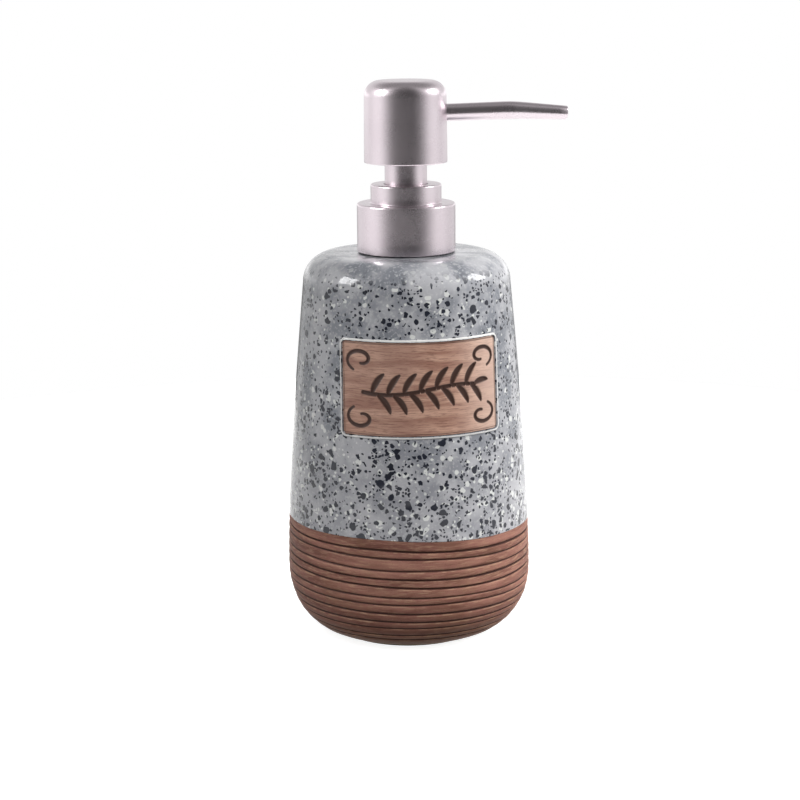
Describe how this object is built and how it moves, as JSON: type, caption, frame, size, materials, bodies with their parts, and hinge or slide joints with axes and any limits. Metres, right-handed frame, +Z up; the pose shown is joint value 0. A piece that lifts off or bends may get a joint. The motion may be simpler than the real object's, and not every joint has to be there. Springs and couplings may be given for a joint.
{
  "type": "soap pump dispenser",
  "caption": "Free-standing ceramic soap dispenser with a satin metal lotion pump, a long bent spout and a wood-look plaque.",
  "frame": {"origin": "centre of the flat base", "axes": "+Z up along the bottle's axis, the plaque faces -Y, the spout points along +X at rest"},
  "size_m": [0.0934, 0.0808, 0.1825],
  "materials": {
    "speckled_glaze": "gloss",
    "wood_tone": "satin",
    "satin_nickel": "satin",
    "white_plastic": "satin",
    "dark_plastic": "satin",
    "clear_tube": "satin",
    "soft_seal": "matte",
    "spring_steel": "polished",
    "ball_glass": "polished"
  },
  "bodies": {
    "bottle": {"ceramic_bottle": "speckled_glaze", "label_plaque": "wood_tone", "neck_insert": "dark_plastic"},
    "pump_body": {"pump_housing": "white_plastic", "guide_cup": "white_plastic", "neck_gasket": "soft_seal", "dip_tube": "clear_tube"},
    "collar": {"collar_nut": "white_plastic", "collar_shell": "satin_nickel"},
    "foot_valve": {"inlet_ball": "ball_glass"},
    "spring": {"return_spring": "spring_steel"},
    "head": {"head_shell": "satin_nickel", "head_core": "white_plastic", "spout_tube": "satin_nickel", "stem_sleeve": "satin_nickel", "pump_stem": "white_plastic", "piston": "white_plastic", "piston_seal": "soft_seal"},
    "delivery_valve": {"outlet_ball": "ball_glass"}
  },
  "joints": [
    {"name": "pump_rise", "type": "slide", "parent": "bottle", "child": "pump_body", "axis": [0, 0, 1], "range_m": [0, 0.0064]},
    {"name": "collar_turn", "type": "hinge", "parent": "pump_body", "child": "collar", "pos_m": [0, 0, 0.1273], "axis": [0, 0, 1], "range_deg": [0, 540]},
    {"name": "foot_valve_lift", "type": "slide", "parent": "pump_body", "child": "foot_valve", "axis": [0, 0, 1], "range_m": [0, 0.0015]},
    {"name": "head_turn", "type": "hinge", "parent": "pump_body", "child": "spring", "pos_m": [0, 0, 0.0979], "axis": [0, 0, 1], "continuous": true},
    {"name": "pump_press", "type": "slide", "parent": "spring", "child": "head", "axis": [0, 0, -1], "range_m": [0, 0.012], "stiffness_N_per_m": 700, "springref_m": -0.01, "deforming": ["return_spring"]},
    {"name": "delivery_valve_lift", "type": "slide", "parent": "head", "child": "delivery_valve", "axis": [0, 0, 1], "range_m": [0, 0.0015]}
  ],
  "couplings": [
    {"joint": "pump_rise", "follows": "collar_turn", "m_per_rad": 0.00066845}
  ]
}
